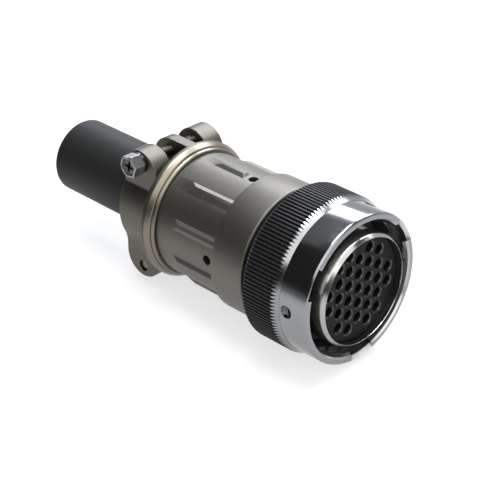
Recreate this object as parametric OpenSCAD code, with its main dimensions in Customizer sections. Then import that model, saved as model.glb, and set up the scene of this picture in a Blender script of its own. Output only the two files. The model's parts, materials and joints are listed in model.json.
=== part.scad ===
// Straight circular cable plug with a bayonet coupling ring and a two-saddle cable clamp.
// Millimetres. The plug's axis is X with the mating face towards +X, and Z is up.
// The origin is on the axis at the face of the socket insert.

/* [Contacts] */
// Distance between neighbouring contact holes
contact_pitch = 4.75; // [4:0.05:6]
// Number of hole rings around the centre hole, as a squared distance in pitches
field_limit = 7; // [1:1:12]
// Diameter of a contact hole in the insert
contact_hole_dia = 3; // [1.8:0.1:3.4]
// Diameter of the countersink at the mouth of a contact hole
countersink_dia = 3.4; // [2.6:0.1:4.2]
// Diameter of the bore in a socket contact
socket_bore_dia = 1.6; // [1:0.1:2]
// Depth of the sockets behind the insert's face
socket_recess = 3; // [1:0.5:5]

/* [Shell] */
// Outside diameter of the barrel
barrel_dia = 34.7; // [30:0.1:46]
// Wall of the barrel
barrel_wall = 1; // [0.8:0.1:2]
// How far the barrel's rim stands in front of the insert's face
rim_height = 2.15; // [1:0.05:5]
// Length of the rounded edge around the barrel's rim
rim_round = 1.35; // [0.3:0.05:1.8]
// Height of the shell's flange over the barrel, inside the coupling ring
shell_flange_height = 2.65; // [1.8:0.05:4]
// Step from the barrel up to the journal that the coupling ring turns on
journal_step = 0.75; // [0.5:0.05:1.5]
// Width of the polarising key on the barrel
key_width = 3; // [2:0.1:4]
// Height of the polarising key above the barrel
key_height = 1.1; // [0.6:0.1:1.3]
// Direction of the polarising key around the axis
key_turn = 315; // [0:1:359]

/* [Coupling ring] */
// Front face of the ring, measured from the insert's face
ring_front = 0.85; // [0:0.05:2]
// Length of the bright front of the ring
bright_length = 9.95; // [9:0.05:12]
// Depth of the bayonet tracks below the ring's mouth
track_depth = 1.7; // [1.2:0.05:2.5]
// Wall left outside the bayonet tracks
ring_wall = 1.25; // [0.8:0.05:2.5]
// Number of bayonet tracks
track_count = 3; // [2:1:3]
// Width of an entry notch around the axis
notch_angle = 24; // [16:1:30]
// Direction of the first entry notch around the axis
notch_start = 34; // [0:1:119]
// Turn from an entry notch to its sight hole
lock_turn = 93; // [60:1:100]
// Width of the bayonet track
track_width = 4.2; // [3:0.1:5]
// Diameter of a sight hole
sight_dia = 4; // [2:0.1:4.2]
// Radius of the rounded front edge
ring_edge = 0.9; // [0.2:0.1:1.1]
// Lead-in bevel at the ring's mouth
mouth_bevel = 1.1; // [0.3:0.1:1.4]

/* [Grip] */
// Height of the ridges over the bright front of the ring
grip_height = 1.18; // [0.8:0.02:3]
// Number of ridges
grip_ridges = 130; // [60:1:160]
// Depth of the grooves between ridges
groove_depth = 0.75; // [0.4:0.05:0.9]
// Width of the flat top of a ridge
ridge_top = 0.35; // [0.1:0.05:0.6]
// Length of the ridges with their bevel
grip_length = 13.9; // [10:0.1:17]
// Length of the bevel at the front of the ridges
bevel_length = 2.25; // [1:0.05:3]
// Length of the plain skirt behind the ridges
skirt_length = 1; // [0.5:0.1:6]
// Step from the ridges down to the skirt
skirt_step = 1.93; // [1.2:0.01:2.5]
// Wall of the skirt
skirt_wall = 1.3; // [0.8:0.1:1.6]

/* [Endbell] */
// Gap between the grip's skirt and the endbell
bell_gap = 2; // [0.4:0.1:3]
// Height of the front collar over the endbell's surface
collar_height = 2; // [1:0.1:4]
// Length of the front collar
collar_length = 12.8; // [8:0.1:18]
// Step from the shell's thread out to the endbell's surface
bell_step = 1.6; // [1.2:0.1:4]
// Wall of the endbell behind its thread
bell_wall = 3; // [2:0.1:4]
// Length of the endbell behind the collar
bell_length = 25; // [20:0.1:40]
// Number of ribs
rib_count = 10; // [6:2:12]
// Height of the ribs over the endbell's surface
rib_height = 0.85; // [0.4:0.05:1.2]
// Width of a rib
rib_width = 2.7; // [1.5:0.1:4]
// How much wider a rib is at its foot than at its top
rib_draft = 1.6; // [0.2:0.1:2]
// Plain length of the endbell behind the ribs
rib_stop = 6.8; // [5:0.1:14]
// Diameter of the side holes
side_hole_dia = 3; // [1.5:0.1:3.5]
// Distance of the side holes behind the collar
side_hole_drop = 3.2; // [2:0.1:4]
// Radius of the rounded edge at the back of the collar
collar_edge = 0.8; // [0.3:0.1:1.2]

/* [Cable clamp] */
// Height of the clamp's flange over the endbell's surface
flange_height = 2.45; // [1.5:0.05:5]
// Thickness of the clamp's flange with the bead in front of it
flange_thick = 4.5; // [3.5:0.1:7]
// Distance of the clamp screws from the bushing
screw_drop = 5.9; // [4.5:0.1:8]
// Distance of the lugs' round ends from the clamp screws
lug_end = 3.6; // [3:0.1:6]
// Radius of the lugs' round ends
lug_radius = 7.2; // [5:0.1:8]
// Inner face of a saddle's lugs, measured from the middle
lug_inner = 7.5; // [5:0.1:9]
// Thickness of a saddle's lugs
lug_thick = 6.7; // [4:0.1:9]
// Thickness of the clamp body's own lugs
middle_lug = 4; // [2:0.1:6]
// Wall of the saddles' half-rings
saddle_wall = 4.8; // [3:0.1:6]
// Radius of the blend from a saddle's half-ring into its tapped lug
lug_blend = 13; // [4:0.5:20]
// Diameter of the clamp screws
screw_dia = 3.5; // [2.5:0.1:4]
// Length of thread that a clamp screw has in its lug
thread_grip = 5.95; // [3:0.05:6.5]
// Width of the screw heads across the flats
head_flats = 6.35; // [5:0.05:8]
// Height of the screw heads
head_height = 4; // [2:0.1:5]
// Thickness of the lock washers
washer_thick = 0.9; // [0.5:0.1:1.5]

/* [Cable bushing] */
// Outside diameter of the rubber bushing
bushing_dia = 24.2; // [20:0.1:28]
// Wall of the bushing
bushing_wall = 3.1; // [2:0.1:6]
// Length of the bushing behind the saddles
bushing_tail = 37; // [15:0.1:60]

/* [Hidden] */
eps = 0.02;
running = 0.06;
fit_gap = 0.05;
saddle_gap = 0.2;
mouth_gap = 0.3;
clip_ledge = 0.35;
thread_step = 0.2;
clip_thick = 1;
snap_thick = 1;
snap_depth = 0.8;
axial_play = 0.3;
shell_flange_thick = 1.7;
gasket_thick = 0.9;
web_thick = 2.8;
spring_height = 2.25;
insert_length = 14;
grommet_length = 11.9;
shell_length = 33;
compression_wall = 3;
entry_depth = 2.75;
sight_depth = 7.3;
flange_drop = 11.3;
seal_height = 1.4;
seal_step = 0.5;
seal_drop = 1.6;
seal_groove = 0.9;
snap_space = 0.5;
spigot_step = 1;
spigot_length = 7.8;
bead_length = 1.2;
saddle_space = 0.5;
bushing_lip = 2;
bushing_lip_step = 0.8;
socket_depth = 8;
track_steps = 7;
$fn = 64;

barrel_r = barrel_dia / 2;
insert_r = barrel_r - barrel_wall;
shell_bore_r = insert_r - clip_ledge;
shell_rear = -shell_length;
shell_flange_front = -flange_drop;
shell_flange_rear = shell_flange_front - shell_flange_thick;
shell_flange_r = barrel_r + shell_flange_height;
journal_r = barrel_r + journal_step;
shell_thread_r = journal_r - thread_step;
insert_rear = -insert_length;
insert_body_r = insert_r - fit_gap;
grommet_front = insert_rear - clip_thick - 2 * fit_gap;
grommet_rear = grommet_front - grommet_length;
hole_r = contact_hole_dia / 2;
contact_r = hole_r - 2 * fit_gap;
contact_rear = grommet_rear + clip_thick;

mouth_r = shell_flange_r + mouth_gap;
track_r = mouth_r + track_depth;
ring_r = track_r + ring_wall;
grip_front = ring_front - bright_length;
grip_rear = grip_front - grip_length;
ring_rear = grip_rear - saddle_gap;
grip_bore_r = track_r - 2 * fit_gap;
spring_front = shell_flange_rear - fit_gap;
spring_rear = spring_front - spring_height;
ring_web_front = spring_rear - axial_play;
ring_web_rear = ring_web_front - web_thick;
snap_front = ring_web_rear - axial_play;
sight_x = ring_front - sight_depth;
entry_x = ring_front - entry_depth;

grip_r = ring_r + grip_height;
groove_r = grip_r - groove_depth;
bevel_r = ring_r + fit_gap;
bevel_slope = (grip_r - bevel_r) / bevel_length;
skirt_r = grip_r - skirt_step;
skirt_bore_r = skirt_r - skirt_wall;
skirt_rear = grip_rear - skirt_length;

bell_front = skirt_rear - bell_gap;
collar_rear = bell_front - collar_length;
clamp_joint = collar_rear - bell_length;
bell_r = shell_thread_r + bell_step;
collar_r = bell_r + collar_height;
rib_r = bell_r + rib_height;
rib_rear = clamp_joint + rib_stop;
bell_cavity_r = bell_r - bell_wall;
bell_thread_r = shell_thread_r + fit_gap;
seal_r = shell_thread_r + seal_step;
seal_x = bell_front - seal_drop;
side_hole_x = collar_rear - side_hole_drop;
spigot_r = bell_cavity_r - spigot_step;
spigot_front = clamp_joint + spigot_length;

flange_r = bell_r + flange_height;
flange_rear = clamp_joint - flange_thick;
flange_front = clamp_joint - bead_length;
bushing_r = bushing_dia / 2;
bushing_bore_r = bushing_r - bushing_wall;
clamp_bore_r = bushing_r + 2 * fit_gap;
saddle_bore_r = bushing_r + saddle_gap;
saddle_r = saddle_bore_r + saddle_wall;
saddle_front = flange_rear - saddle_space;
saddle_rear = saddle_front - 2 * lug_radius;
screw_offset = bushing_r + screw_drop;
lug_reach = screw_offset + lug_end;
lug_outer = lug_inner + lug_thick;
lug_x = saddle_front - lug_radius;
lug_z = lug_reach - lug_radius;
saddle_split = lug_inner - clip_thick;
screw_r = screw_dia / 2;
screw_hole_r = screw_r + 3 * fit_gap;
screw_tap_r = screw_r + fit_gap;
screw_tip = lug_inner + thread_grip;
washer_out_r = head_flats / 2 + 2 * fit_gap;
bushing_rear = saddle_rear - bushing_tail;

// Hexagonal field of contact positions, one lattice line upright
field = [for (i = [-4 : 4], j = [-4 : 4])
    if (i * i + i * j + j * j <= field_limit)
        [contact_pitch * i * cos(30), contact_pitch * (j + i / 2)]];

// Body turned about the plug's axis from points given as radius and position
module turned(points) {
    rotate([0, 90, 0])
        rotate_extrude()
            polygon(points);
}

// Plain ring about the plug's axis
module band(r_in, r_out, x_rear, x_front) {
    turned([[r_in, x_rear], [r_out, x_rear], [r_out, x_front], [r_in, x_front]]);
}

// Round rod about the plug's axis
module rod(r, x_rear, x_front) {
    translate([x_rear, 0, 0])
        rotate([0, 90, 0])
            cylinder(h = x_front - x_rear, r = r);
}

// Radial hole at an angle around the axis
module radial_hole(angle, x, r, from_r, to_r) {
    rotate([angle, 0, 0])
        translate([x, from_r, 0])
            rotate([-90, 0, 0])
                cylinder(h = to_r - from_r, r = r, $fn = 32);
}

// Slice of a disc about the axis, from one angle over a sweep, for cutting
module slice(x_rear, x_front, start, sweep) {
    reach = 2 * track_r;
    translate([x_rear, 0, 0])
        rotate([start, 0, 0])
            rotate([0, 90, 0])
                rotate([0, 0, 90])
                    linear_extrude(height = x_front - x_rear)
                        polygon([[0, 0], [reach, 0], [reach * cos(sweep), reach * sin(sweep)]]);
}

// One bayonet track: entry notch, then a ramp in small steps back to the sight hole
module bayonet_track(start) {
    ramp = (entry_x - sight_x) / track_steps;
    turn = lock_turn / track_steps;
    half = track_width / 2;
    tail = 180 * half / (PI * track_r);
    intersection() {
        turned([
            [0, sight_x - track_width],
            [track_r, sight_x - track_width],
            [track_r, ring_front - 0.5],
            [track_r + 1.5, ring_front + 1],
            [0, ring_front + 1]
        ]);
        union() {
            slice(entry_x - half, ring_front + 2, start - notch_angle / 2, notch_angle);
            for (k = [1 : track_steps]) {
                x = entry_x - ramp * k;
                slice(x - half, x + half, start - turn * k - tail, turn + 2 * tail);
            }
        }
    }
}

module coupling_ring() {
    color("#c9ccd0")
        difference() {
            turned([
                [mouth_r, shell_flange_rear],
                [mouth_r, ring_front - mouth_bevel],
                [mouth_r + mouth_bevel, ring_front],
                for (a = [0 : 22.5 : 90])
                    [ring_r - ring_edge * (1 - sin(a)), ring_front - ring_edge * (1 - cos(a))],
                [ring_r, grip_front],
                [grip_bore_r, grip_front],
                [grip_bore_r, ring_rear],
                [mouth_r, ring_rear],
                [mouth_r, ring_web_rear],
                [journal_r + running, ring_web_rear],
                [journal_r + running, ring_web_front],
                [mouth_r, ring_web_front]
            ]);
            for (k = [0 : track_count - 1]) {
                start = notch_start + 360 / track_count * k;
                bayonet_track(start);
                radial_hole(start - lock_turn, sight_x, sight_dia / 2, mouth_r - 1, ring_r + 1);
            }
        }
}

module grip_ring() {
    half = 180 / grip_ridges;
    top = 90 * ridge_top / (PI * grip_r);
    ridges = [for (k = [0 : grip_ridges - 1], p = [0 : 2])
        let (a = 2 * half * k + (p == 0 ? -top : p == 1 ? top : half), r = p == 2 ? groove_r : grip_r)
            [r * cos(a), r * sin(a)]];
    color("#1d1d1f")
        difference() {
            union() {
                intersection() {
                    translate([grip_rear, 0, 0])
                        rotate([0, 90, 0])
                            linear_extrude(height = grip_front - grip_rear)
                                polygon(ridges);
                    turned([
                        [0, grip_rear - 1],
                        [groove_r - 0.6, grip_rear - 1],
                        [groove_r - 0.6, grip_rear - eps],
                        [grip_r + 0.2, grip_rear + groove_depth + 0.1],
                        [grip_r + 0.2, grip_front - bevel_length - 0.2 / bevel_slope],
                        [bevel_r, grip_front],
                        [bevel_r, grip_front + 1],
                        [0, grip_front + 1]
                    ]);
                }
                rod(skirt_r, grip_rear - skirt_length, grip_rear + 1);
            }
            rod(grip_bore_r, ring_rear, grip_front + 1);
            rod(skirt_bore_r, grip_rear - skirt_length - 1, ring_rear + 1);
        }
}

module plug_shell() {
    edge = 0.7 * barrel_wall;
    color("#b9babb")
        union() {
            turned([
                [insert_r, rim_height - 0.3 * barrel_wall],
                for (a = [0 : 22.5 : 90])
                    [barrel_r - edge * (1 - sin(a)), rim_height - rim_round * (1 - cos(a))],
                [barrel_r, shell_flange_front],
                [shell_flange_r, shell_flange_front],
                [shell_flange_r, shell_flange_rear],
                [journal_r, shell_flange_rear],
                [journal_r, snap_front],
                [journal_r - snap_depth, snap_front],
                [journal_r - snap_depth, snap_front - snap_thick],
                [journal_r, snap_front - snap_thick],
                [journal_r, snap_front - snap_thick - 1],
                [shell_thread_r, snap_front - snap_thick - 1],
                [shell_thread_r, seal_x + seal_height / 2],
                [shell_thread_r - seal_groove, seal_x + seal_height / 2],
                [shell_thread_r - seal_groove, seal_x - seal_height / 2],
                [shell_thread_r, seal_x - seal_height / 2],
                [shell_thread_r, shell_rear],
                [shell_bore_r, shell_rear],
                [shell_bore_r, insert_rear - clip_thick],
                [insert_r, insert_rear - clip_thick]
            ]);
            rotate([key_turn, 0, 0])
                translate([shell_flange_front - 0.5, barrel_r - 0.4, -key_width / 2])
                    cube([rim_height - 1.5 - shell_flange_front, key_height + 0.4, key_width]);
        }
}

module socket_insert() {
    sink = (countersink_dia - contact_hole_dia) / 2;
    color("#3c3e37")
        difference() {
            turned([
                [0, insert_rear],
                [insert_body_r, insert_rear],
                [insert_body_r, -0.4],
                [insert_body_r - 0.4, 0],
                [0, 0]
            ]);
            for (p = field)
                translate([0, p[0], p[1]]) {
                    rod(hole_r, insert_rear - 1, 1);
                    translate([-sink, 0, 0])
                        rotate([0, 90, 0])
                            cylinder(h = sink + eps, r1 = hole_r, r2 = countersink_dia / 2 + eps);
                }
        }
}

module socket_contacts() {
    color("#c8a24a")
        for (p = field)
            translate([0, p[0], p[1]])
                difference() {
                    rod(contact_r, contact_rear, -socket_recess, $fn = 12);
                    rod(socket_bore_dia / 2, -socket_recess - socket_depth, 1, $fn = 12);
                }
}

module wire_grommet() {
    color("#4a3a34")
        difference() {
            rod(shell_bore_r - fit_gap, grommet_rear, grommet_front);
            for (p = field)
                translate([0, p[0], p[1]])
                    rod(hole_r, grommet_rear - 1, grommet_front + 1, $fn = 12);
        }
}

module insert_clip() {
    color("#8d9094")
        difference() {
            rod(insert_body_r, insert_rear - clip_thick, insert_rear);
            for (p = field)
                translate([0, p[0], p[1]])
                    rod(hole_r, insert_rear - clip_thick - 1, insert_rear + 1, $fn = 12);
        }
}

module ring_gasket() {
    color("#2a2724")
        difference() {
            band(
                barrel_r + fit_gap,
                shell_flange_r - mouth_gap,
                shell_flange_front,
                shell_flange_front + gasket_thick
            );
            rotate([key_turn, 0, 0])
                translate([shell_flange_front - 1, barrel_r - 1, -key_width / 2 - fit_gap])
                    cube([3, key_height + 1 + fit_gap, key_width + 2 * fit_gap]);
        }
}

// Thin washer bent into even waves
module wave_spring() {
    steps = 48;
    thick = 0.4;
    mid = (spring_front + spring_rear) / 2;
    sway = (spring_front - spring_rear - thick) / 2;
    r_in = journal_r + 0.25;
    r_out = mouth_r - 0.35;
    corners = [for (k = [0 : steps - 1], c = [0 : 3])
        let (a = 360 * k / steps, r = c < 2 ? r_in : r_out, side = c == 0 || c == 3 ? -1 : 1)
            [mid + sway * cos(4 * a) + side * thick / 2, r * cos(a), r * sin(a)]];
    faces = [for (k = [0 : steps - 1], c = [0 : 3])
        let (n = (k + 1) % steps, d = (c + 1) % 4)
            [4 * k + c, 4 * n + c, 4 * n + d, 4 * k + d]];
    color("#9a9da1")
        polyhedron(corners, faces, 2);
}

module retaining_ring() {
    color("#77797c")
        difference() {
            band(
                journal_r - snap_depth + fit_gap,
                mouth_r - snap_space,
                snap_front - snap_thick + fit_gap,
                snap_front - fit_gap
            );
            translate([snap_front - snap_thick - 1, -1.5, -mouth_r - 1])
                cube([snap_thick + 2, 3, 6]);
        }
}

module compression_ring() {
    color("#b4b0a6")
        band(
            shell_bore_r - compression_wall,
            shell_bore_r - fit_gap,
            shell_rear - clip_thick,
            grommet_rear - fit_gap
        );
}

module endbell() {
    color("#a7a299")
        difference() {
            union() {
                turned([
                    [bell_thread_r, seal_x - seal_height],
                    [seal_r, seal_x - 0.8 * seal_height],
                    [seal_r, bell_front],
                    [collar_r - 0.45, bell_front],
                    [collar_r, bell_front - 0.45],
                    for (a = [0 : 22.5 : 90])
                        [collar_r - collar_edge * (1 - cos(a)), collar_rear + collar_edge * (1 - sin(a))],
                    [bell_r, collar_rear - 0.2],
                    [bell_r, clamp_joint],
                    [spigot_r + fit_gap, clamp_joint],
                    [spigot_r + fit_gap, spigot_front + 1],
                    [bell_cavity_r, spigot_front + 2],
                    [bell_cavity_r, shell_rear - 4],
                    [bell_thread_r, shell_rear - 3]
                ]);
                for (k = [0 : rib_count - 1])
                    rotate([90 + 360 * k / rib_count, 0, 0])
                        if (k == 0 || k == rib_count / 2)
                            bell_rib(side_hole_x - side_hole_dia / 2 - 1, 1);
                        else
                            bell_rib(collar_rear + 0.5, 0);
            }
            for (k = [0 : 3])
                radial_hole(90 * k, side_hole_x, side_hole_dia / 2, bell_cavity_r - 1, rib_r + 1);
        }
}

// Rib along the endbell, with leaning sides, a sloped rear end and room for a slope at its front
module bell_rib(front, nose) {
    foot = rib_width / 2 + rib_draft / 4;
    top = rib_width / 2 - rib_draft / 4;
    intersection() {
        translate([0, 0, -foot])
            linear_extrude(height = 2 * foot)
                polygon([
                    [rib_rear, bell_r - 0.5],
                    [rib_rear, bell_r - 0.1],
                    [rib_rear + 2.4, rib_r],
                    [front - nose, rib_r],
                    [front, bell_r - 0.1],
                    [front, bell_r - 0.5]
                ]);
        translate([rib_rear - 1, 0, 0])
            rotate([90, 0, 90])
                linear_extrude(height = front - rib_rear + 2)
                    polygon([
                        [bell_r - 0.6, -foot - 0.1],
                        [bell_r - 0.1, -foot],
                        [rib_r + 0.1, -top],
                        [rib_r + 0.1, top],
                        [bell_r - 0.1, foot],
                        [bell_r - 0.6, foot + 0.1]
                    ]);
    }
}

module endbell_seal() {
    mid = (shell_thread_r - seal_groove + seal_r) / 2;
    half = (seal_r - shell_thread_r + seal_groove) / 2 - fit_gap;
    color("#232323")
        turned([for (a = [22.5 : 45 : 337.5])
            [mid + half * cos(a), seal_x + 0.43 * seal_height * sin(a)]]);
}

// Outline of a lug seen along its screw: straight flanks and a round outer end
module lug_outline(inner) {
    union() {
        translate([lug_x, lug_z])
            circle(r = lug_radius);
        translate([lug_x - lug_radius, inner])
            square([2 * lug_radius, lug_z - inner]);
    }
}

// Outline extruded across the plug between two distances from the middle
module across(from_y, to_y) {
    translate([0, to_y, 0])
        rotate([90, 0, 0])
            linear_extrude(height = to_y - from_y)
                children();
}

// Round hole across the plug, on the line of a clamp screw
module cross_hole(r, z, from_y, to_y) {
    translate([lug_x, from_y, z])
        rotate([-90, 0, 0])
            cylinder(h = to_y - from_y, r = r, $fn = 32);
}

module clamp_body() {
    color("#c2b59e")
        difference() {
            union() {
                turned([
                    [0, flange_rear],
                    [flange_r - 0.3, flange_rear],
                    [flange_r, flange_rear + 0.3],
                    for (a = [0 : 22.5 : 90])
                        [flange_r - 1 + cos(a), flange_front - 1 + sin(a)],
                    [flange_r - 1.35, flange_front],
                    [flange_r - 1.35, flange_front + 0.15 * bead_length],
                    [flange_r - 1.15, flange_front + 0.3 * bead_length],
                    [flange_r - 1.25, flange_front + 0.6 * bead_length],
                    [bell_r + 0.5, clamp_joint - 0.1 * bead_length],
                    [bell_r + 0.3, clamp_joint],
                    [spigot_r, clamp_joint],
                    [spigot_r, spigot_front - 0.5],
                    [spigot_r - 0.5, spigot_front],
                    [0, spigot_front]
                ]);
                for (side = [0, 180])
                    rotate([side, 0, 0])
                        across(-middle_lug / 2, middle_lug / 2)
                            union() {
                                lug_outline(bushing_r);
                                translate([lug_x, bushing_r])
                                    square([flange_rear + 1 - lug_x, lug_reach - bushing_r]);
                            }
            }
            rod(clamp_bore_r, saddle_rear - 1, spigot_front + 1);
            for (z = [-screw_offset, screw_offset])
                cross_hole(screw_hole_r, z, -middle_lug, middle_lug);
        }
}

// Hollow blend from a saddle's half-ring down into the face of its tapped lug
module lug_fillet() {
    reach = saddle_r + lug_blend - 0.1;
    blend_y = lug_outer + lug_blend - 0.1;
    blend_z = sqrt(reach * reach - blend_y * blend_y);
    share = saddle_r / reach;
    translate([saddle_rear, 0, 0])
        rotate([90, 0, 90])
            linear_extrude(height = saddle_front - saddle_rear)
                difference() {
                    polygon([
                        [1 - lug_outer, -blend_z],
                        [-lug_outer, -blend_z],
                        [-share * blend_y, -share * blend_z],
                        [1.5 - share * blend_y, 1 - share * blend_z]
                    ]);
                    translate([-blend_y, -blend_z])
                        circle(r = lug_blend);
                }
}

// Left saddle; its upper lug passes the screw and its lower lug is tapped
module saddle() {
    difference() {
        union() {
            if (saddle_r > lug_outer)
                lug_fillet();
            intersection() {
                rod(saddle_r, saddle_rear, saddle_front);
                translate([saddle_rear - 1, -saddle_r - 1, -saddle_r - 1])
                    cube([2 * lug_radius + 2, saddle_r + 1 - saddle_split, 2 * saddle_r + 2]);
            }
            across(-lug_outer, -lug_inner)
                union() {
                    lug_outline(0);
                    mirror([0, 1])
                        lug_outline(0);
                }
        }
        rod(saddle_bore_r, saddle_rear - 1, saddle_front + 1);
        cross_hole(screw_hole_r, screw_offset, -lug_outer - 1, -lug_inner + 1);
        cross_hole(screw_tap_r, -screw_offset, -lug_outer - 1, -lug_inner + 1);
    }
}

module saddle_left() {
    color("#c2b59e")
        saddle();
}

module saddle_right() {
    color("#c2b59e")
        rotate([180, 0, 0])
            saddle();
}

// Screw from the left with an indented hexagonal head and a cross recess
module clamp_screw() {
    seat = -lug_outer - washer_thick - fit_gap;
    corner = head_flats / 2 / cos(30);
    translate([lug_x, 0, screw_offset])
        difference() {
            union() {
                translate([0, seat - eps, 0])
                    rotate([-90, 0, 0])
                        cylinder(h = screw_tip - seat, r = screw_r);
                intersection() {
                    translate([0, seat, 0])
                        rotate([90, 0, 0])
                            rotate([0, 0, 11])
                                cylinder(h = head_height, r = corner, $fn = 6);
                    translate([0, seat, 0])
                        rotate([90, 0, 0])
                            rotate_extrude()
                                polygon([
                                    [0, 0],
                                    [corner + 0.1, 0],
                                    [corner + 0.1, head_height - 0.4],
                                    [head_flats / 2 - 0.05, head_height],
                                    [0, head_height]
                                ]);
                }
            }
            translate([0, seat - head_height, 0])
                rotate([90, 0, 0])
                    head_recess();
        }
}

// Shallow six-sided dish with a tapering cross in its floor
module head_recess() {
    rotate([0, 0, 11])
        translate([0, 0, -0.5])
            cylinder(h = 1, r = 0.47 * head_flats, $fn = 6);
    for (turn = [0, 90])
        rotate([0, 0, turn - 8])
            rotate([90, 0, 0])
                translate([0, 0, -0.45])
                    linear_extrude(height = 0.9)
                        polygon([[-2.1, 0.1], [-0.7, -2.4], [0.7, -2.4], [2.1, 0.1]]);
}

module clamp_screw_top() {
    color("#d3d5d8")
        clamp_screw();
}

module clamp_screw_bottom() {
    color("#d3d5d8")
        rotate([180, 0, 0])
            clamp_screw();
}

// Split spring washer under a screw head
module lock_washer() {
    translate([lug_x, -lug_outer, screw_offset])
        rotate([90, 0, 0])
            difference() {
                cylinder(h = washer_thick, r = washer_out_r);
                translate([0, 0, -1])
                    cylinder(h = washer_thick + 2, r = screw_r + 2 * fit_gap);
                rotate([0, 0, 70])
                    translate([0, -0.25, -1])
                        cube([washer_out_r + 1, 0.5, washer_thick + 2]);
            }
}

module lock_washer_top() {
    color("#3a3a3b")
        lock_washer();
}

module lock_washer_bottom() {
    color("#3a3a3b")
        rotate([180, 0, 0])
            lock_washer();
}

module cable_bushing() {
    color("#2b2b2c")
        turned([
            [bushing_bore_r, bushing_rear],
            [bushing_r - 0.4, bushing_rear],
            [bushing_r, bushing_rear + 0.4],
            [bushing_r, spigot_front + fit_gap],
            [spigot_r - bushing_lip_step, spigot_front + fit_gap],
            [spigot_r - bushing_lip_step, spigot_front + bushing_lip],
            [bushing_bore_r, spigot_front + bushing_lip]
        ]);
}

coupling_ring();
grip_ring();
plug_shell();
socket_insert();
socket_contacts();
wire_grommet();
insert_clip();
ring_gasket();
wave_spring();
retaining_ring();
compression_ring();
endbell();
endbell_seal();
clamp_body();
saddle_left();
saddle_right();
clamp_screw_top();
clamp_screw_bottom();
lock_washer_top();
lock_washer_bottom();
cable_bushing();
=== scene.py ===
"""Circular bayonet cable plug: finishes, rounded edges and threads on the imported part, on pale paper."""

import json
import math

import bmesh
import bpy
from mathutils import Matrix, Vector


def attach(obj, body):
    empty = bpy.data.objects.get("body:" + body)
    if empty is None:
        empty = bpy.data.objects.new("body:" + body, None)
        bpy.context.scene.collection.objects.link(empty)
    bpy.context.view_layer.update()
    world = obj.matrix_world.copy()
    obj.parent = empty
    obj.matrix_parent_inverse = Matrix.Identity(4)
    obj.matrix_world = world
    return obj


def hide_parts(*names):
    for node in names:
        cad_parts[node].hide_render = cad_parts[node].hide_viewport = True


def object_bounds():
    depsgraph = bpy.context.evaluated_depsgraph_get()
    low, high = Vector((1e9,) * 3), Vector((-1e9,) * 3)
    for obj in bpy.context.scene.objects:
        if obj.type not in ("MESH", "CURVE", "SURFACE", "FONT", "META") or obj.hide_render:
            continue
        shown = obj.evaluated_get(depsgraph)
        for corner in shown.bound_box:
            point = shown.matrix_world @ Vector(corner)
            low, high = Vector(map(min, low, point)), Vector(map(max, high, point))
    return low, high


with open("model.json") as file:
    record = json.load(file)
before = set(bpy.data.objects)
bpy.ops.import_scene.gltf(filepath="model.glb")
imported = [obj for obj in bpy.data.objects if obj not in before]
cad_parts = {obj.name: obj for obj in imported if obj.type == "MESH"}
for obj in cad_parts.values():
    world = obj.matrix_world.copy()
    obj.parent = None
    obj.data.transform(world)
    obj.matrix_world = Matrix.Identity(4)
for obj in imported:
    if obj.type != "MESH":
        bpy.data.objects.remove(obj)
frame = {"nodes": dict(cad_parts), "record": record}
cad_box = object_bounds()

MM = 0.001
SLOTS = {part["node"]: part["material_slot"] for part in frame["record"]["subparts"]}
BODIES = frame["record"]["behaviour"]["bodies"]
CARRIERS = {node: body for body, nodes in BODIES.items() for node in nodes}

# The plug's axis is X, with the mating face near X = 0 and the cable at the rear.
# Both clamp screws lie along Y, above and below the axis. Their places and sizes are in millimetres.
SCREW_X = -76
SCREW_Z = 18
SCREW_SEAT = 15.17
SCREW_TIP = -13.45
THREAD_PITCH = 0.794
THREAD_ROOT = 1.37
THREAD_CREST = 1.75
HEAD_DISH = 18.65
LUG_HOLE = 2.2
HOLE_ROUNDING = 0.12

# The camera that the photo was taken with, solved from the ellipses of the ring, rim, collar and bushing.
CAMERA_PLACE = (0.25503, -0.30207, 0.23890)
CAMERA_BACK = (0.61597, -0.61470, 0.49268)
CAMERA_LENS = 122.107
CAMERA_SENSOR = 36


# Finishes

def linear(code):
    """An sRGB hex colour as linear red, green, blue and alpha."""
    parts = [int(code[i:i + 2], 16) / 255 for i in (1, 3, 5)]
    return [c / 12.92 if c <= 0.04045 else ((c + 0.055) / 1.055) ** 2.4 for c in parts] + [1.0]


def add(tree, kind, links=None, **settings):
    """A shader node with its settings; links maps input sockets to values or to other nodes' outputs."""
    node = tree.nodes.new(kind)
    for name, value in settings.items():
        setattr(node, name, value)
    for socket, value in (links or {}).items():
        if isinstance(value, bpy.types.NodeSocket):
            tree.links.new(value, node.inputs[socket])
        else:
            node.inputs[socket].default_value = value
    return node


def blank(name):
    """A new material, its empty node tree, and the place on the object in metres."""
    material = bpy.data.materials.new(name)
    material.use_nodes = True
    tree = material.node_tree
    tree.nodes.clear()
    return material, tree, add(tree, "ShaderNodeTexCoord").outputs["Object"]


def noise(tree, place, width_mm, detail):
    """Noise in spots about as wide as given."""
    return add(tree, "ShaderNodeTexNoise", {
        "Vector": place, "Scale": 1 / (width_mm * MM), "Detail": detail}).outputs[0]


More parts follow.
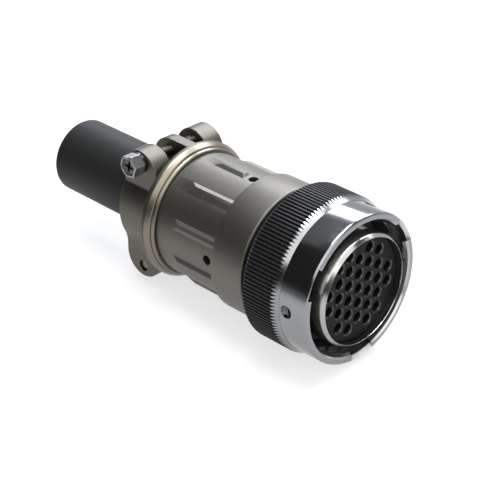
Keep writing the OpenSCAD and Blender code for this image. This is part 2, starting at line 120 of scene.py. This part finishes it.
def surface(tree, tones, cloud, roughness, grain, bump, look):
    """A shader with two tones mixed by a cloud, and with roughness and bump that follow a grain.

    tones and roughness go from low to high; bump is its strength, and its depth in millimetres.
    """
    tone = add(tree, "ShaderNodeMix", {
        "Factor": cloud, "A": linear(tones[0]), "B": linear(tones[1])}, data_type="RGBA")
    rough = add(tree, "ShaderNodeMapRange", {
        "Value": grain, "To Min": roughness[0], "To Max": roughness[1]})
    relief = add(tree, "ShaderNodeBump", {
        "Height": grain, "Strength": bump[0], "Distance": bump[1] * MM})
    shader = add(tree, "ShaderNodeBsdfPrincipled", {
        "Base Color": tone.outputs["Result"], "Roughness": rough.outputs[0],
        "Normal": relief.outputs[0], **look})
    add(tree, "ShaderNodeOutputMaterial", {"Surface": shader.outputs[0]})


def turned_metal(name, light, dark, rough_low, rough_high):
    """Plated metal turned on a lathe: fine tool lines run round the axis and soften the mirror."""
    material, tree, place = blank(name)
    # tool lines about 0.3 mm apart along the axis, 3300 to the metre, and 20 mm long round it
    stretch = add(tree, "ShaderNodeMapping", {
        "Vector": place, "Scale": (3300, 1 / (20 * MM), 1 / (20 * MM))})
    lines = add(tree, "ShaderNodeTexNoise", {
        "Vector": stretch.outputs[0], "Scale": 1.0, "Detail": 2.0}).outputs[0]
    tarnish = noise(tree, place, 12, 3.0)
    surface(tree, (dark, light), tarnish, (rough_low, rough_high), lines, (0.01, 0.02),
            {"Metallic": 1.0})
    return material


def plated(name, light, dark, rough_low, rough_high, grain_mm, strength):
    """Plate over a blasted or rolled surface: even metal with a fine grain and a faint cloudy tone."""
    material, tree, place = blank(name)
    tarnish = noise(tree, place, 9, 3.0)
    grain = noise(tree, place, grain_mm, 2.0)
    surface(tree, (dark, light), tarnish, (rough_low, rough_high), grain, (strength, 0.02),
            {"Metallic": 1.0})
    return material


def dull(name, light, dark, rough_low, rough_high, grain_mm, strength, specular=0.5):
    """Rubber, resin or a black coat: no bare metal, with a fine dull grain."""
    material, tree, place = blank(name)
    grain = noise(tree, place, grain_mm, 3.0)
    surface(tree, (dark, light), grain, (rough_low, rough_high), grain, (strength, 0.03),
            {"Specular IOR Level": specular})
    return material


finishes = {
    # chrome on the turned ring: dark and bright bands with clear edges
    "ring_chrome": turned_metal("bright_chrome_plate", "#898a8b", "#828384", 0.14, 0.19),
    # black coat on the grooved grip: deep black with a thin grey light on each ridge
    "grip_black": dull("black_coated_metal", "#1f1f20", "#19191a", 0.40, 0.50, 0.3, 0.1, specular=0.3),
    # nickel on the turned barrel: a clear, slightly warm light along its rim
    "shell_metal": turned_metal("bright_nickel_plate", "#a3a29f", "#999895", 0.17, 0.23),
    # moulded resin of the insert: a dead, slightly olive black
    "insert_resin": dull("moulded_resin", "#131411", "#10110e", 0.50, 0.62, 0.4, 0.1, specular=0.1),
    # gold on the sockets: a warm glint down in the holes
    "contact_metal": plated("gold_plate", "#c8a24a", "#b8923c", 0.2, 0.3, 0.3, 0.05),
    # soft rubber of the seals: brown black without a clear light
    "soft_seal": dull("soft_rubber", "#2c2825", "#24211f", 0.55, 0.7, 0.5, 0.1),
    # rolled spring steel: neutral grey with a fairly clear light; also painted as shade on the end faces
    # of the screw heads
    "spring_steel": plated("spring_steel", "#969592", "#898885", 0.25, 0.35, 0.3, 0.02),
    # satin nickel on the blasted endbell: one wide soft light along the top, olive grey below
    "endbell_nickel": plated("satin_nickel_casting", "#6b6861", "#64615a", 0.44, 0.52, 0.25, 0.06),
    # nickel of a warmer tone on the cast clamp: beige tops and brown grey sides
    "clamp_nickel": plated("champagne_nickel", "#605c55", "#59554e", 0.40, 0.48, 0.3, 0.05),
    # bright zinc on the screws: flat facets, each with a grey of its own
    "screw_steel": plated("bright_zinc_steel", "#d3d4d5", "#cbcccd", 0.18, 0.22, 0.3, 0.0),
    # dark spring steel of the lock washers: a dark line under each head
    "washer_steel": plated("dark_spring_steel", "#454547", "#3a3a3c", 0.3, 0.42, 0.3, 0.02),
    # moulded rubber of the bushing: black with a broad grey sheen
    "bushing_rubber": dull(
        "black_bushing_rubber", "#1a1a19", "#161615", 0.52, 0.62, 0.5, 0.1, specular=0.25),
}

# bare metal where the grip's black coat is turned away: a bright saw-tooth edge
bare_bevel = turned_metal("bare_bright_metal", "#8b8c8d", "#828384", 0.18, 0.24)
# bevel at the ring's mouth: a brighter copy of the chrome, a painted highlight that makes a thin white
# line
mouth_painted_highlight = turned_metal("mouth_bevel_painted_highlight", "#a6a7a8", "#9c9d9e", 0.18, 0.24)
# the ring's inside, dulled by its mating half to a rougher finish, and painted a darker grey as shade
# inside the ring: no clear reflections
satin_track_painted_shade = turned_metal("satin_nickel_track_painted_shade", "#7f7f7d", "#757573", 0.42, 0.50)
# blasted lead-ins of the ring's entry notches: rough, and painted pale as a highlight that shows from any
# side
lead_in_painted_highlight = plated("blasted_lead_in_painted_highlight", "#e4e4e1", "#dadad7", 0.50, 0.58, 0.3, 0.05)
# nickel in a brighter, warmer tone: a painted highlight in thin champagne lines on the clamp's front rims,
# and painted shade on the threads, darker than the heads
rim_highlight_thread_shade = plated("nickel_rim_highlight_thread_shade", "#7b7569", "#716b5f", 0.28, 0.36, 0.3, 0.02)
# bottom of the dish in a screw head: rougher, and painted darker than the rim round it as shade in the
# hollow
dish_painted_shade = plated("dull_zinc_dish_painted_shade", "#6a6b6b", "#5c5d5d", 0.40, 0.55, 0.3, 0.05)
# cross recess of a screw head: nearly black, painted shade deep in the recess
recess_painted_shade = plated("steel_recess_painted_shade", "#303031", "#262627", 0.35, 0.50, 0.3, 0.05)
# countersinks from a polished mould: a thin grey light round each hole of the insert
gloss_edge = dull("glossy_moulded_resin", "#1d1e1a", "#181916", 0.22, 0.30, 0.4, 0.0)


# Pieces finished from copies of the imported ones

def merged(node):
    """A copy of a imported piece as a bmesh, its triangles joined up into whole faces."""
    bm = bmesh.new()
    bm.from_mesh(frame["nodes"][node].data)
    bmesh.ops.remove_doubles(bm, verts=bm.verts, dist=0.001 * MM)
    bmesh.ops.dissolve_limit(bm, angle_limit=math.radians(0.5), verts=bm.verts, edges=bm.edges)
    return bm


def is_sharp(edge):
    """Whether an edge turns by more than the facets of a round surface do."""
    return len(edge.link_faces) == 2 and edge.calc_face_angle() > math.radians(28)


def mark_edges(bm, radius_at, widest):
    """Gives each sharp edge its share of the widest rounding; radius_at takes an edge's middle in mm."""
    weights = bm.edges.layers.float.new("bevel_weight_edge")
    for edge in filter(is_sharp, bm.edges):
        middle = (edge.verts[0].co + edge.verts[1].co) / 2 / MM
        edge[weights] = radius_at(middle) / widest


def show(bm, node, widest=0.0, segments=3, full_width=False):
    """Makes a bmesh a piece that stands for a packed one and rides with it.

    widest is its rounding in millimetres. With full_width the short edges of small fillets don't cut the
    rounding down everywhere else.
    """
    name = node + "_finished"
    mesh = bpy.data.meshes.new(name)
    weights = bm.edges.layers.float.get("bevel_weight_edge")
    for face in bm.faces:
        face.smooth = True
    for edge in filter(is_sharp, bm.edges):
        edge.smooth = weights is not None and edge[weights] > 0
    bm.to_mesh(mesh)
    bm.free()
    if "custom_normal" in mesh.attributes:
        mesh.attributes.remove(mesh.attributes["custom_normal"])
    mesh.materials.append(finishes[SLOTS[node]])
    piece = bpy.data.objects.new(name, mesh)
    bpy.context.scene.collection.objects.link(piece)
    if widest:
        rounding = piece.modifiers.new("rounded_edges", "BEVEL")
        rounding.limit_method = "WEIGHT"
        rounding.width = widest * MM
        rounding.segments = segments
        rounding.harden_normals = True
        rounding.use_clamp_overlap = not full_width
    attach(piece, CARRIERS[node])
    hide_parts(node)
    return piece


def reprofile(verts, rings):
    """Moves rings of a turned piece; each pair is a ring's X and radius before and after, in mm."""
    near = 0.02
    for v in verts:
        x, r = v.co.x / MM, v.co.yz.length / MM
        for (old_x, old_r), (new_x, new_r) in rings:
            if abs(x - old_x) < near and abs(r - old_r) < near:
                v.co = Vector((new_x * MM, v.co.y * new_r / r, v.co.z * new_r / r))
                break


def arc_to_cone(centre, radii, start, end, steps=4):
    """Ring moves that pull a quarter arc, from its radial to its axial end, straight between two rings."""
    moves = []
    for k in range(steps + 1):
        a = math.pi / 2 * k / steps
        place = (centre[0] + radii[0] * math.sin(a), centre[1] + radii[1] * math.cos(a))
        moves.append((place, tuple(s + (e - s) * k / steps for s, e in zip(start, end))))
    return moves


def refinish(piece, material, chosen):
    """Another finish on the faces of a piece that chosen picks by their middle, in mm, and normal."""
    piece.data.materials.append(material)
    for face in piece.data.polygons:
        if chosen(face.center / MM, face.normal):
            face.material_index = len(piece.data.materials) - 1


def inward(p, n):
    """How far a normal leans to the plug's axis, from -1 for outward to 1."""
    return -Vector((p.y, p.z)).normalized().dot((n.y, n.z))


def from_screw(p):
    """How far a point is from the axis of the nearer clamp screw, in millimetres."""
    return math.hypot(p.x - SCREW_X, abs(p.z) - SCREW_Z)


def finish_saddle(node):
    """A saddle with the soft edges of a casting; the edges of its screw holes are crisp."""
    rounding = 0.35
    bm = merged(node)
    mark_edges(bm, lambda p: HOLE_ROUNDING if from_screw(p) < LUG_HOLE else rounding, rounding)
    show(bm, node, rounding, full_width=True)


def finish_clamp_body():
    """The clamp body with soft lugs, and straight cones for the flange's rim and the bead before it."""
    rounding = 0.3
    flange_rear, rim_rear = -68.6, -66.8
    bead_foot = 20.2
    bm = merged("clamp_body")
    rim = arc_to_cone((-66, 20.95), (1, 1), (-66.7, 21.95), (-65, 20.95))
    bead = [
        ((-64.64, 20.8), (-64.72, 20.78)),
        ((-64.28, 20.7), (-64.3, 20.55)),
        ((-63.92, 20), (-63.88, 20.3))]
    reprofile(bm.verts, rim + bead)

    def on_lug(p):
        return p.x < flange_rear and from_screw(p) > LUG_HOLE

    mark_edges(bm, lambda p: rounding if on_lug(p) else HOLE_ROUNDING, rounding)
    clamp = show(bm, "clamp_body", rounding, full_width=True)

    def on_rim(p, n):
        return p.x > rim_rear and 0.25 < n.x < 0.95 and p.yz.length > bead_foot

    # painted highlight: the brighter nickel on the flange's front rim and the bead before it
    refinish(clamp, rim_highlight_thread_shade, on_rim)


def finish_endbell():
    """The endbell with gentler flanks on its ribs, which stand every 36 degrees behind the collar."""
    rounding = 0.2
    spacing = math.radians(36)
    foot_radius = 20.2 * MM
    collar_rear = -30 * MM
    half_width = 1.2 * MM
    top_share = 0.55
    bm = merged("endbell")
    for v in bm.verts:
        reach = v.co.yz.length
        if reach > foot_radius and v.co.x < collar_rear:
            turn = math.atan2(v.co.z, v.co.y)
            rib = round((turn - math.pi / 2) / spacing) * spacing + math.pi / 2
            if abs(turn - rib) * reach < half_width:
                turn = rib + top_share * (turn - rib)
                v.co.yz = Vector((math.cos(turn), math.sin(turn))) * reach
    mark_edges(bm, lambda p: rounding, rounding)
    show(bm, "endbell", rounding, 2, full_width=True)


def finish_cable_bushing():
    """The rubber bushing, softest at its cable end."""
    soft, firm = 0.5, 0.2
    cable_end = -110
    bm = merged("cable_bushing")
    mark_edges(bm, lambda p: soft if p.x < cable_end else firm, soft)
    show(bm, "cable_bushing", soft)


def finish_plug_shell():
    """The barrel with a straight cone for the outside of its rim."""
    rounding = 0.1
    bm = merged("plug_shell")
    reprofile(bm.verts, arc_to_cone((0.8, 16.65), (1.35, 0.7), (0.95, 17.35), (2.15, 16.45)))
    mark_edges(bm, lambda p: rounding, rounding)
    show(bm, "plug_shell", rounding, 2)


def faces_of(verts):
    """The faces round some corners, each once, in an order that is the same in every run."""
    return list(dict.fromkeys(face for v in verts for face in v.link_faces))


def edges_of(verts):
    """The edges round some corners, each once, in an order that is the same in every run."""
    return list(dict.fromkeys(edge for v in verts for edge in v.link_edges))


def add_thread(bm, side):
    """Gives a screw head its threaded shank: one tooth winds up past both ends and is cut there."""
    spare, sunk = 1, 0.2
    steps = 24
    turns = math.ceil((SCREW_SEAT - SCREW_TIP + 2 * spare) / THREAD_PITCH)
    axis = Vector((SCREW_X, 0, -SCREW_Z * side)) * MM
    head = set(bm.verts)
    # the tooth's corners, as radius and place along the screw
    tooth = [
        (THREAD_ROOT, -0.06),
        (THREAD_ROOT, 0.10),
        (THREAD_CREST, 0.33),
        (THREAD_CREST, 0.46),
        (THREAD_ROOT, THREAD_PITCH - 0.06)]
    rows = []
    for step in range(steps * turns + 1):
        rise = SCREW_TIP - spare + THREAD_PITCH * step / steps
        turn = Matrix.Rotation(math.tau * step / steps, 3, "Y")
        rows.append([bm.verts.new(axis + turn @ Vector((r, rise + y, 0)) * MM) for r, y in tooth])
    for row, above in zip(rows, rows[1:]):
        for corners in zip(row, row[1:], above[1:], above):
            bm.faces.new(corners)
    thread = [v for v in bm.verts if v not in head]
    bmesh.ops.remove_doubles(bm, verts=thread, dist=0.005 * MM)
    for end, keep in ((SCREW_TIP, 1), (SCREW_SEAT + sunk, -1)):
        thread = [v for v in bm.verts if v not in head]
        whole = thread + edges_of(thread) + faces_of(thread)
        bmesh.ops.bisect_plane(bm, geom=whole, plane_co=(0, end * MM, 0), plane_no=(0, keep, 0),
                               clear_inner=True)
        bmesh.ops.holes_fill(bm, edges=[e for e in bm.edges if e.is_boundary])
    thread = [v for v in bm.verts if v not in head]
    if side < 0:
        bmesh.ops.rotate(bm, verts=thread, cent=axis, matrix=Matrix.Rotation(math.pi, 3, "X"))
    bmesh.ops.recalc_face_normals(bm, faces=faces_of(thread))


def finish_clamp_screw(node, side):
    """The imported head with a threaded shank; side is the way that the head points along Y."""
    rounding = 0.1
    bm = merged(node)
    whole = bm.verts[:] + bm.edges[:] + bm.faces[:]
    bmesh.ops.bisect_plane(bm, geom=whole, plane_co=(0, side * SCREW_SEAT * MM, 0), plane_no=(0, side, 0),
                           clear_inner=True)
    bmesh.ops.holes_fill(bm, edges=[edge for edge in bm.edges if edge.is_boundary])
    mark_edges(bm, lambda p: rounding, rounding)
    add_thread(bm, side)
    screw = show(bm, node, rounding, 2)
    shank_end, head_start = 15, 15.3
    dish_low, dish_high = HEAD_DISH - 0.05, HEAD_DISH + 0.05
    recess_reach = 1.9
    # painted shade: darker zinc on the floor of each head's dish
    refinish(screw, dish_painted_shade, lambda p, n: dish_low < abs(p.y) < dish_high and abs(n.y) > 0.9)
    # painted shade: nearly black in the cross recess
    refinish(screw, recess_painted_shade,
             lambda p, n: head_start < abs(p.y) < dish_low and from_screw(p) < recess_reach)
    # painted shade: the threaded shank darker than the head
    refinish(screw, rim_highlight_thread_shade, lambda p, n: abs(p.y) < shank_end)
    # painted shade: the head's end face round the dish in darker steel than its bright facets
    refinish(screw, finishes["spring_steel"], lambda p, n: abs(p.y) > dish_high)


def widen_countersinks(bm, mouth, depth):
    """Gives the contact holes of the insert wider and deeper mouths; sizes in millimetres."""
    hole_field = 15 * MM
    just_behind_face = -0.05 * MM
    cones = {
        f for f in bm.faces
        if 0.6 < f.normal.x < 0.8 and f.calc_center_median().yz.length < hole_field}
    while cones:
        ring, fresh = set(), {cones.pop()}
        while fresh:
            ring |= fresh
            fresh = {g for f in fresh for e in f.edges for g in e.link_faces if g in cones} - ring
            cones -= fresh
        verts = {v for f in ring for v in f.verts}
        # fsum gives one sum whatever the order
        middle = Vector([math.fsum(places) / len(verts) for places in zip(*(v.co.yz for v in verts))])
        for v in verts:
            if v.co.x > just_behind_face:
                v.co.yz = middle + (v.co.yz - middle).normalized() * mouth / 2 * MM
            else:
                v.co.x = -depth * MM


def finish_socket_insert():
    """The insert with glossy countersinks and a softer front edge."""
    rounding, rear_rounding = 0.12, 0.05
    front_from = -0.1
    bm = merged("socket_insert")
    widen_countersinks(bm, mouth=3.9, depth=0.45)
    mark_edges(bm, lambda p: rounding if p.x > front_from else rear_rounding, rounding)
    insert = show(bm, "socket_insert", rounding, 2)
    refinish(insert, gloss_edge, lambda p, n: 0.4 < n.x < 0.9)


def finish_coupling_ring():
    """The coupling ring with a narrower mouth bevel and deeper lead-ins in its three entry notches."""
    rounding = 0.12
    first_notch, half_notch = 34, 12.1
    notch_floor = 21.9
    bm = merged("coupling_ring")
    mouth = [((-0.25, 20.3), (0.35, 20.9)), ((0.3, 20.85), (0.55, 21.1))]
    lead_in = [((0.35, 22), (-0.4, 22)), ((0.83, 22.48), (0.72, 22.8)), ((0.78, 22.69), (0.655, 22.895))]

    def in_notch(v):
        turn = math.degrees(math.atan2(v.co.z, v.co.y))
        return abs((turn - first_notch + 60) % 120 - 60) < half_notch

    reprofile(bm.verts, mouth)
    reprofile(filter(in_notch, bm.verts), lead_in)
    mark_edges(bm, lambda p: rounding, rounding)
    ring = show(bm, "coupling_ring", rounding, 2)
    # painted shade: darker grey on the ring's inward faces
    refinish(ring, satin_track_painted_shade, lambda p, n: inward(p, n) > 0.3)
    # painted highlight: a brighter chrome on the mouth bevel
    refinish(ring, mouth_painted_highlight, lambda p, n: inward(p, n) > 0.3 and n.x > 0.65)
    # painted highlight: pale metal on the lead-ins of the notches
    refinish(ring, lead_in_painted_highlight,
             lambda p, n: inward(p, n) > 0.3 and n.x > 0.3 and p.yz.length > notch_floor)


def finish_grip_ring():
    """The grip with its coat turned away on the bevel, which makes the ridges' ends a saw-tooth edge."""
    bevel_rear, bevel_foot = -11.6, 22.9
    grip = show(merged("grip_ring"), "grip_ring")
    refinish(grip, bare_bevel, lambda p, n: n.x > 0.2 and p.x > bevel_rear and p.yz.length > bevel_foot)


# Floor, lamps and camera

def paper_with_painted_falloff():
    """Backdrop paper: white under and behind the object, with painted shade on the floor's far left front,
    where it goes to grey as if the light fell off.
    """
    grey_from, white_from = -0.34, -0.15
    white_glow = 0.70
    material, tree, place = blank("paper_with_painted_falloff")
    paths = add(tree, "ShaderNodeLightPath")
    seen = add(tree, "ShaderNodeMath", {
        0: paths.outputs["Is Camera Ray"], 1: paths.outputs["Is Glossy Ray"]}, operation="MAXIMUM")
    through = add(tree, "ShaderNodeMath", {
        0: seen.outputs[0], 1: paths.outputs["Is Transmission Ray"]}, operation="MAXIMUM")
    # painted shade, as if the light fell off: the paper is grey, in metres, where both X + Y and three
    # times Y are under grey_from
    spot = add(tree, "ShaderNodeSeparateXYZ", {"Vector": place})
    left = add(tree, "ShaderNodeMath", {0: spot.outputs["X"], 1: spot.outputs["Y"]}, operation="ADD")
    front = add(tree, "ShaderNodeMath", {0: spot.outputs["Y"], 1: 3.0}, operation="MULTIPLY")
    across = add(tree, "ShaderNodeMath", {0: left.outputs[0], 1: front.outputs[0]}, operation="MAXIMUM")
    white = add(tree, "ShaderNodeMapRange", {
        "Value": across.outputs[0], "From Min": grey_from, "From Max": white_from},
        interpolation_type="SMOOTHSTEP")
    # the glow drops to a tenth in the grey too, as part of the same painted shade
    glow = add(tree, "ShaderNodeMapRange", {
        "Value": white.outputs[0], "To Min": 0.1 * white_glow, "To Max": white_glow})
    lift = add(tree, "ShaderNodeMath", {0: through.outputs[0], 1: glow.outputs[0]}, operation="MULTIPLY")
    fibre = noise(tree, place, 2, 2.0)
    pale = add(tree, "ShaderNodeMix", {
        "Factor": fibre, "A": linear("#8a8a8a"), "B": linear("#8e8e8e")}, data_type="RGBA")
    # painted shade: the paper's colour goes from pale to dark grey there
    tone = add(tree, "ShaderNodeMix", {
        "Factor": white.outputs[0], "A": linear("#5a5a5a"), "B": pale.outputs["Result"]}, data_type="RGBA")
    shader = add(tree, "ShaderNodeBsdfPrincipled", {
        "Base Color": tone.outputs["Result"], "Roughness": 0.9, "Specular IOR Level": 0.1,
        "Emission Color": (1, 1, 1, 1), "Emission Strength": lift.outputs[0]})
    add(tree, "ShaderNodeOutputMaterial", {"Surface": shader.outputs[0]})
    return material


def sheet(name, width, height, matrix, paper):
    """A flat sheet of paper, placed by its middle; sizes in metres."""
    bm = bmesh.new()
    bmesh.ops.create_grid(bm, x_segments=1, y_segments=1, size=0.5,
                          matrix=Matrix.Diagonal((width, height, 1, 1)))
    bmesh.ops.transform(bm, matrix=matrix, verts=bm.verts)
    mesh = bpy.data.meshes.new(name)
    bm.to_mesh(mesh)
    bm.free()
    mesh.materials.append(paper)
    flat = bpy.data.objects.new(name, mesh)
    bpy.context.scene.collection.objects.link(flat)


def lamp(name, place, target, size, power, colour="#ffffff"):
    """A rectangular soft lamp that faces a target; sizes in metres, power in watts."""
    light = bpy.data.lights.new(name, "AREA")
    light.shape = "RECTANGLE"
    light.size, light.size_y = size
    light.energy = power
    light.color = linear(colour)[:3]
    lit = bpy.data.objects.new(name, light)
    aim = Vector(target) - Vector(place)
    lit.matrix_world = Matrix.Translation(place) @ aim.to_track_quat("-Z", "Y").to_matrix().to_4x4()
    bpy.context.scene.collection.objects.link(lit)


def studio():
    """Paper, lamps, a nearly dark room, which gives the chrome its dark bands, and the camera."""
    scene = bpy.context.scene
    low = cad_box[0].z
    paper = paper_with_painted_falloff()
    upright = Matrix.Rotation(math.pi / 2, 4, "X")
    facing_side = Matrix.Rotation(math.pi / 2, 4, "Z") @ upright
    rear_height, side_height = 0.55, 1.3
    sheet("floor_paper", 6.0, 6.0, Matrix.Translation((-0.06, -2.0, low)), paper)
    sheet("rear_paper", 6.0, rear_height,
          Matrix.Translation((-0.06, 1.0, low + rear_height / 2)) @ upright, paper)
    sheet("side_card", 1.0, side_height,
          Matrix.Translation((1.2, 0.75, low + side_height / 2)) @ facing_side, paper)

    cool_white = "#f0f5ff"
    lamp("rear_strip", (-0.38, 0.60, 0.60), (-0.38, 0, 0), (1.16, 0.36), 13.2, cool_white)
    lamp("overhead_panel", (-0.115, 0.06, 0.9), (-0.115, 0.06, 0), (0.37, 0.6), 11.7, cool_white)
    lamp("top_panel", (-0.65, 0.05, 0.85), (-0.05, 0, 0), (1.0, 0.4), 0.3)
    lamp("front_softbox", (0.31, -0.35, 0.72), (0.31, -0.095, 0), (0.62, 1.38), 7.5)
    lamp("right_softbox", (0.85, -0.2, 0.42), (0, 0, 0), (0.9, 0.7), 5.0)

    world = bpy.data.worlds.new("studio_room")
    scene.world = world
    world.use_nodes = True
    room = world.node_tree.nodes["Background"]
    room.inputs["Color"].default_value = (1, 1, 1, 1)
    room.inputs["Strength"].default_value = 0.04

    lens = bpy.data.cameras.new("camera")
    lens.sensor_width = CAMERA_SENSOR
    lens.lens = CAMERA_LENS
    lens.clip_start = 0.01
    camera = bpy.data.objects.new("camera", lens)
    turn = (-Vector(CAMERA_BACK)).to_track_quat("-Z", "Y").to_matrix().to_4x4()
    camera.matrix_world = Matrix.Translation(CAMERA_PLACE) @ turn
    scene.collection.objects.link(camera)
    scene.camera = camera
    scene.view_settings.view_transform = "Standard"


for node, cad in frame["nodes"].items():
    cad.data.materials.clear()
    cad.data.materials.append(finishes[SLOTS[node]])

finish_saddle("saddle_left")
finish_saddle("saddle_right")
finish_clamp_body()
finish_endbell()
finish_cable_bushing()
finish_plug_shell()
finish_clamp_screw("clamp_screw_top", side=-1)
finish_clamp_screw("clamp_screw_bottom", side=1)
finish_socket_insert()
finish_coupling_ring()
finish_grip_ring()
studio()
